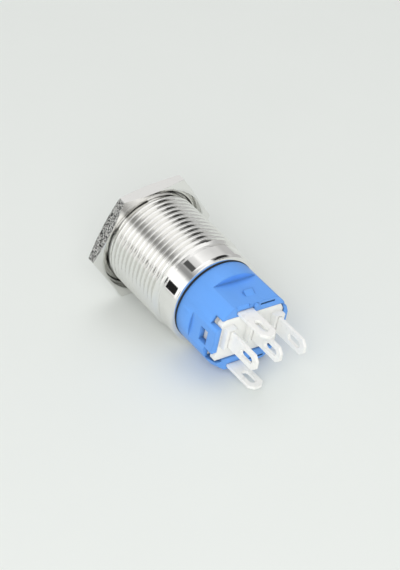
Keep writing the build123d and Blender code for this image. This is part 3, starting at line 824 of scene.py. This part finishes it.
def barrel_outline(sizes):
    """Returns the function that gives the barrel's section at an angle."""
    front = BARREL_LOW.y
    rear = BARREL_HIGH.y
    edge = sizes.edge
    crest = sizes.thread_radius
    neck = sizes.neck_radius
    groove = sizes.groove_radius
    rim = sizes.rim_radius
    # The thread starts inside the nut, and its radius rises and falls by these slopes.
    thread_front = -0.55 * MM
    thread_rear = sizes.thread_length - sizes.groove_length
    lead_in = 0.8
    run_out = 1.2
    # The groove's rear wall reaches this far either side of its middle. It rises a little at its
    # foot, and its brow is eased back from the band's edge.
    groove_rear = sizes.thread_length
    wall = 0.1 * MM
    foot = 0.03 * MM
    brow = 0.05 * MM
    brow_start = 0.06 * MM
    # Behind the band come a taper that steepens and a rolled rim.
    band_rear = rear - sizes.rim_length
    rim_front = rear - 0.25 * MM
    taper_fall = 0.18 * MM
    taper_bend = 1.3
    rim_step = 0.05 * MM
    rim_edge = 0.04 * MM
    # A second point this near a corner keeps its shading crisp.
    hold = 0.02 * MM
    rows = round((thread_rear - thread_front) / sizes.thread_pitch * sizes.thread_samples)

    def thread_radius(y, angle):
        turn = (angle + sizes.thread_start) / (2 * math.pi)
        phase = y / sizes.thread_pitch - turn
        radius = crest - sizes.thread_depth * (1 - thread_height(phase))
        front_lead = neck + (y - thread_front) * lead_in
        rear_lead = groove + (thread_rear - y) * run_out
        return min(radius, front_lead, rear_lead)

    def front_points():
        return [
            (sizes.lip_radius, front + sizes.lip_length),
            (sizes.lip_radius, front),
            (neck - edge, front),
            (neck, front + edge),
        ]

    def thread_points(angle):
        length = thread_rear - thread_front
        along = [thread_front + length * row / rows for row in range(rows + 1)]
        return [(thread_radius(y, angle), y) for y in along]

    def band_points():
        return [
            (groove, groove_rear - wall),
            (groove + foot, groove_rear - hold),
            (neck - brow, groove_rear + brow_start),
            (neck, groove_rear + wall),
            (neck, groove_rear + wall + hold),
            (neck, band_rear - hold),
        ]

    def taper_points():
        length = rim_front - band_rear
        points = []
        for share in (0.0, 0.1, 0.2, 0.4, 0.6, 0.8, 1.0):
            fall = taper_fall * share**taper_bend
            points.append((neck - fall, band_rear + length * share))
        return points

    def rear_points():
        return [
            (rim, rim_front + rim_step),
            (rim, rim_front + rim_step + hold),
            (rim, rear - rim_edge),
            (rim - rim_edge, rear),
            (sizes.bore_radius, rear),
            (sizes.bore_radius, front + sizes.lip_length),
        ]

    def section(angle):
        behind = band_points() + taper_points() + rear_points()
        return front_points() + thread_points(angle) + behind

    return section


class SWITCH_OT_barrel(bpy.types.Operator):
    """Turns the threaded barrel with its groove, band and rim"""

    bl_idname = "switch.barrel"
    bl_label = "Barrel"

    def execute(self, context):
        sizes = context.scene.switch_sizes
        colours = context.scene.switch_colours
        mesh = loop_mesh("threaded_barrel", barrel_outline(sizes), sizes.columns)
        sharpen(mesh, 50)
        material = nickel_finish(colours.nickel, band_front=sizes.thread_length)
        add_piece(mesh, material, "switch_body", "barrel")
        return {"FINISHED"}


# ---- the nut

def nut_outline(sizes):
    """Returns the function that gives the nut's section at an angle."""
    front = NUT_LOW.y
    flat = NUT_HIGH.z
    chamfer_radius = flat - sizes.nut_chamfer_inset
    sink_radius = flat - sizes.nut_sink_inset
    bore = sizes.neck_radius + sizes.nut_clearance
    slope = math.tan(sizes.nut_chamfer_angle)
    sink_depth = (sink_radius - bore) * math.tan(sizes.nut_sink_angle)
    sixth = math.pi / 3

    def section(angle):
        from_flat = (angle + sixth / 2) % sixth - sixth / 2
        radius = flat / math.cos(from_flat)
        drop = (radius - chamfer_radius) * slope
        return [
            (bore, front + sizes.edge),
            (bore + sizes.edge, front),
            (chamfer_radius, front),
            (radius, front + drop),
            (radius, -drop),
            (chamfer_radius, 0.0),
            (sink_radius, 0.0),
            (bore, -sink_depth),
        ]

    return section


class SWITCH_OT_nut(bpy.types.Operator):
    """Mills the hexagon nut with its chamfers and countersink"""

    bl_idname = "switch.nut"
    bl_label = "Nut"

    def execute(self, context):
        sizes = context.scene.switch_sizes
        colours = context.scene.switch_colours
        mesh = loop_mesh("hexagon_nut", nut_outline(sizes), sizes.columns)
        sharpen(mesh, 10)
        material = nut_nickel_finish(colours.nickel)
        piece = add_piece(mesh, material, "nut", "mounting_nut")
        round_edges(piece, "worn edges", 0.05 * MM, 12)
        return {"FINISHED"}


# ---- pieces that keep their CAD form

class SWITCH_OT_button(bpy.types.Operator):
    """Finishes the button, its seal and its stem"""

    bl_idname = "switch.button"
    bl_label = "Button"

    def execute(self, context):
        colours = context.scene.switch_colours
        clothe("button_cap", brushed_nickel_finish(colours.nickel))
        clothe("cap_seal", rubber_finish(colours.rubber))
        clothe("button_stem", moulded_finish("stem_acetal", colours.stem, 0.3))
        return {"FINISHED"}


class SWITCH_OT_ring_light(bpy.types.Operator):
    """Finishes the light guide, the lamp board and its lamps"""

    bl_idname = "switch.ring_light"
    bl_label = "Ring light"

    def execute(self, context):
        colours = context.scene.switch_colours
        clothe("light_guide", frosted_finish(colours.ring))
        clothe("led_board", board_finish(colours.board, colours.track))
        clothe("led_resistor", chip_finish(colours.glaze))
        lamp = lamp_finish(colours.lamp)
        for node in frame["nodes"]:
            if node.removeprefix("led_").isdigit():
                clothe(node, lamp)
        return {"FINISHED"}


class SWITCH_OT_mouldings(bpy.types.Operator):
    """Finishes the blue housing, the white insert and the gasket between housing and barrel"""

    bl_idname = "switch.mouldings"
    bl_label = "Mouldings"

    def execute(self, context):
        colours = context.scene.switch_colours
        clothe("rear_housing", moulded_finish("blue_nylon", colours.blue, 0.42))
        white = moulded_finish("white_nylon", colours.white, 0.45, painted_recess_shade=0.25)
        clothe("terminal_insert", white)
        clothe("barrel_gasket", rubber_finish(colours.rubber))
        soften("rear_housing", 0.09 * MM)
        soften("terminal_insert", 0.06 * MM)
        return {"FINISHED"}


class SWITCH_OT_terminals(bpy.types.Operator):
    """Finishes the five solder lugs and the silver contacts"""

    bl_idname = "switch.terminals"
    bl_label = "Terminals"

    def execute(self, context):
        colours = context.scene.switch_colours
        plated = plated_strip_finish(colours.silver)
        for lug in ("open", "common", "closed", "lamp_upper", "lamp_lower"):
            clothe(f"terminal_{lug}", plated)
        silver = wire_finish("contact_silver", colours.contact, 0.2)
        for side in ("open", "closed"):
            clothe(f"fixed_contact_{side}", silver)
            clothe(f"moving_contact_{side}", silver)
        return {"FINISHED"}


# ---- the springs

def tube_faces(sides, steps):
    """The faces of a tube with this many sides and steps along it, and of its two ends."""
    faces = []
    for step in range(steps):
        here = step * sides
        there = here + sides
        for side in range(sides):
            following = (side + 1) % sides
            faces.append((here + side, there + side, there + following, here + following))
    faces.append(tuple(range(sides)))
    faces.append(tuple(reversed(range(steps * sides, (steps + 1) * sides))))
    return faces


def coil_mesh(node, wire_radius, turns):
    """A compression spring that fills a CAD node's box, with its two end turns closed."""
    low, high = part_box(node)
    middle = (low + high) / 2
    coil_radius = (high.x - low.x) / 2 - wire_radius
    length = high.y - low.y - 2 * wire_radius
    closed_pitch = 2.1 * wire_radius
    open_pitch = (length - 2 * closed_pitch) / (turns - 2)
    sides = 10
    steps = 32 * turns
    along = Vector((0, 1, 0))
    points = []
    for step in range(steps + 1):
        turn = turns * step / steps
        rise = closed_pitch * min(turn, 1) + open_pitch * min(max(turn - 1, 0), turns - 2)
        rise += closed_pitch * max(turn - (turns - 1), 0)
        outward = Vector((math.cos(2 * math.pi * turn), 0, math.sin(2 * math.pi * turn)))
        centre = middle + coil_radius * outward
        centre.y = low.y + wire_radius + rise
        for side in range(sides):
            around = 2 * math.pi * side / sides
            spoke = math.cos(around) * outward + math.sin(around) * along
            points.append(centre + wire_radius * spoke)
    return new_mesh(f"wound_{node}", points, tube_faces(sides, steps))


# Each spring: its wire's radius in millimetres, its turns, its fixed end along its box from 0 at
# the front to 1 at the rear, and the share of its length that it keeps when the button is down.
SPRINGS = {
    "return_spring": (0.20, 5, 1, 0.47),
    "contact_spring": (0.11, 6, 1, 0.42),
    "bias_spring": (0.10, 6, 0, 0.86),
}


class SWITCH_OT_springs(bpy.types.Operator):
    """Winds the three coil springs"""

    bl_idname = "switch.springs"
    bl_label = "Springs"

    def execute(self, context):
        steel = wire_finish("coil_steel", context.scene.switch_colours.steel, 0.22)
        for node, (wire_radius, turns, fixed_end, kept) in SPRINGS.items():
            mesh = coil_mesh(node, wire_radius * MM, turns)
            piece = add_piece(mesh, steel, "switch_body", node)
            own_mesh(piece)
        return {"FINISHED"}


# ---- the latch and the blade, which keep their CAD form

class SWITCH_OT_mechanism(bpy.types.Operator):
    """Finishes the latch and the change-over blade"""

    bl_idname = "switch.mechanism"
    bl_label = "Mechanism"

    def execute(self, context):
        colours = context.scene.switch_colours
        clothe("latch_pin", wire_finish("spring_steel", colours.steel, 0.22))
        bronze = wire_finish("spring_bronze", colours.bronze, 0.25)
        for node in ("contact_blade", "latch_leaf"):
            clothe(node, bronze)
        return {"FINISHED"}


# ---- the stage

def floor_slope():
    """Slope of the floor along the axis, on which the nut and the thread's rear end rest."""
    thread_bottom = -THREAD["r_mm"] * MM
    thread_rear = THREAD["length_mm"] * MM
    return (thread_bottom - NUT_LOW.z) / thread_rear


def add_floor(stage, colour):
    """A plain pale sheet under the switch."""
    half = stage.floor_size / 2
    slope = floor_slope()
    corners = []
    for x, y in ((-half, -half), (half, -half), (half, half), (-half, half)):
        corners.append((x, y, NUT_LOW.z + y * slope))
    mesh = new_mesh("floor", corners, [(0, 1, 2, 3)])
    floor = bpy.data.objects.new("floor", mesh)
    bpy.context.scene.collection.objects.link(floor)
    finish = Finish("pale_sheet", colour, roughness=0.7, specular_ior_level=0.2)
    fibres = finish.noise(finish.place(), 14 * MM, 4)
    finish.set(base_color=finish.shade(0.985 + 0.015 * fibres))
    mesh.materials.append(finish.material)


# How bright the room is as the metal mirrors it. Two long lamps hang along the switch, and the
# first table gives the light in each direction across it, in degrees from +Z towards +X.
ROOM_STRIPS = (
    (-180, 0.60),
    (-72, 0.56),
    (-60, 0.74),
    (-44, 0.78),
    (-32, 0.88),
    (-18, 1.02),
    (-6, 1.18),
    (0, 0.88),
    (20, 0.66),
    (27, 0.50),
    (31, 0.34),
    (38, 0.35),
    (43, 0.62),
    (48, 1.18),
    (55, 1.32),
    (84, 1.22),
    (92, 0.95),
    (110, 0.80),
    (180, 0.60),
)
# The second gives single places: azimuth and elevation, how many degrees round it are fully and
# partly covered, and the light there. Azimuth grows from +Y towards +X, also in degrees.
ROOM_SPOTS = (
    ("lamp over the nut", 180, 78, 8, 26, 1.28),
    ("lamp beside the camera", -14, 30, 14, 38, 1.14),
    ("doorway", -93, 49, 13, 23, 0.03),
    ("doorway top", -112, 62, 2, 10, 0.30),
    ("corner", -36, 10, 2, 8, 0.15),
    ("lamp foot", 129, 6, 7.5, 8.5, 0.02),
    ("lamp arm", 116, 9, 6.5, 7.5, 0.03),
    ("lamp head", 157, 48, 4, 6.5, 0.10),
)
BRIGHTEST = 1.4


def heading(azimuth, elevation):
    """A direction from its azimuth and elevation, in degrees."""
    turn = math.radians(azimuth)
    rise = math.radians(elevation)
    level = math.cos(rise)
    return Vector((math.sin(turn) * level, math.cos(turn) * level, math.sin(rise)))


def room_seen_in_metal(tree):
    """How bright the room is in each direction, as bright metal mirrors it."""
    direction = tree.node("ShaderNodeTexCoord", output="Generated")
    x, _, z = tree.axes(direction)
    across = x.math("ARCTAN2", x, z) / (2 * math.pi) + 0.5
    stops = []
    for degrees, light in ROOM_STRIPS:
        share = light / BRIGHTEST
        stops.append((degrees / 360 + 0.5, (share, share, share, 1)))
    strips = tree.node("ShaderNodeValToRGB", {"stops": stops}, {"Fac": across})
    light = strips * BRIGHTEST
    for _, azimuth, elevation, inner, outer, level in ROOM_SPOTS:
        facing = tree.node(
            "ShaderNodeVectorMath",
            {"operation": "DOT_PRODUCT"},
            {0: direction, 1: heading(azimuth, elevation)},
            output="Value",
        )
        edge = math.cos(math.radians(outer))
        core = math.cos(math.radians(inner))
        light = light + facing.step(edge, core) * (level - light)
    return light


def add_room_light(stage):
    """Even light for the mouldings and the floor, and a room of lamps for the metal to mirror."""
    world = bpy.data.worlds.new("studio")
    bpy.context.scene.world = world
    tree = Tree(world)
    rays = tree.node("ShaderNodeLightPath", output="Is Glossy Ray")
    strength = rays * room_seen_in_metal(tree) + (1 - rays) * stage.world_light
    background = tree.nodes["Background"]
    tree.put(background.inputs["Strength"], strength)
    tree.put(background.inputs["Color"], (1, 1, 1, 1))


def add_lamp(name, place, side, power):
    """A square soft lamp that shines on the switch, and that the metal doesn't mirror."""
    light = bpy.data.lights.new(name, "AREA")
    light.shape = "SQUARE"
    light.size = side
    light.energy = power
    lamp = bpy.data.objects.new(name, light)
    lamp.location = place
    switch_middle = Vector((0, 0.01, 0))
    beam = switch_middle - Vector(place)
    lamp.rotation_euler = beam.to_track_quat("-Z", "Y").to_euler()
    lamp.visible_glossy = False
    bpy.context.scene.collection.objects.link(lamp)


def add_camera(stage):
    """The camera at its place, turned to its aim and its upper side."""
    camera = bpy.data.objects.new("camera", bpy.data.cameras.new("camera"))
    aim = Vector(stage.camera_aim).normalized()
    up = Vector(stage.camera_up).normalized()
    right = aim.cross(up)
    columns = (right, up, -aim)
    matrix = camera.matrix_world.copy()
    for column, axis in enumerate(columns):
        for row in range(3):
            matrix[row][column] = axis[row]
    matrix.translation = Vector(stage.camera_place)
    camera.matrix_world = matrix
    camera.data.lens = stage.lens
    camera.data.clip_start = 0.01
    camera.data.clip_end = 10
    bpy.context.scene.collection.objects.link(camera)
    bpy.context.scene.camera = camera


class SWITCH_OT_stage(bpy.types.Operator):
    """Adds the floor, the soft light and the camera"""

    bl_idname = "switch.stage"
    bl_label = "Stage"

    def execute(self, context):
        stage = context.scene.switch_stage
        colours = context.scene.switch_colours
        add_camera(stage)
        add_floor(stage, colours.floor)
        add_room_light(stage)
        add_lamp("front", place=(0.34, 0.40, 0.42), side=0.45, power=stage.front_power)
        add_lamp("overhead", place=(-0.15, -0.25, 0.6), side=0.5, power=stage.overhead_power)
        context.scene.view_settings.view_transform = "Standard"
        return {"FINISHED"}


# ---- panel and registration

STEPS = (
    "stage",
    "barrel",
    "nut",
    "button",
    "ring_light",
    "mouldings",
    "terminals",
    "springs",
    "mechanism",
)


class SWITCH_PT_panel(bpy.types.Panel):
    """Lists the steps that build the switch"""

    bl_idname = "SWITCH_PT_panel"
    bl_label = "Push button switch"
    bl_space_type = "VIEW_3D"
    bl_region_type = "UI"
    bl_category = "Switch"

    def draw(self, context):
        for step in STEPS:
            self.layout.operator(f"switch.{step}")


CLASSES = (
    SwitchSizes,
    SwitchColours,
    SwitchStage,
    SWITCH_OT_stage,
    SWITCH_OT_barrel,
    SWITCH_OT_nut,
    SWITCH_OT_button,
    SWITCH_OT_ring_light,
    SWITCH_OT_mouldings,
    SWITCH_OT_terminals,
    SWITCH_OT_springs,
    SWITCH_OT_mechanism,
    SWITCH_PT_panel,
)


def register():
    for cls in CLASSES:
        bpy.utils.register_class(cls)
    bpy.types.Scene.switch_sizes = PointerProperty(type=SwitchSizes)
    bpy.types.Scene.switch_colours = PointerProperty(type=SwitchColours)
    bpy.types.Scene.switch_stage = PointerProperty(type=SwitchStage)


def unregister():
    del bpy.types.Scene.switch_stage
    del bpy.types.Scene.switch_colours
    del bpy.types.Scene.switch_sizes
    for cls in reversed(CLASSES):
        bpy.utils.unregister_class(cls)


def main():
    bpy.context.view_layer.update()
    register()
    for step in STEPS:
        getattr(bpy.ops.switch, step)()


if __name__ == "__main__":
    main()
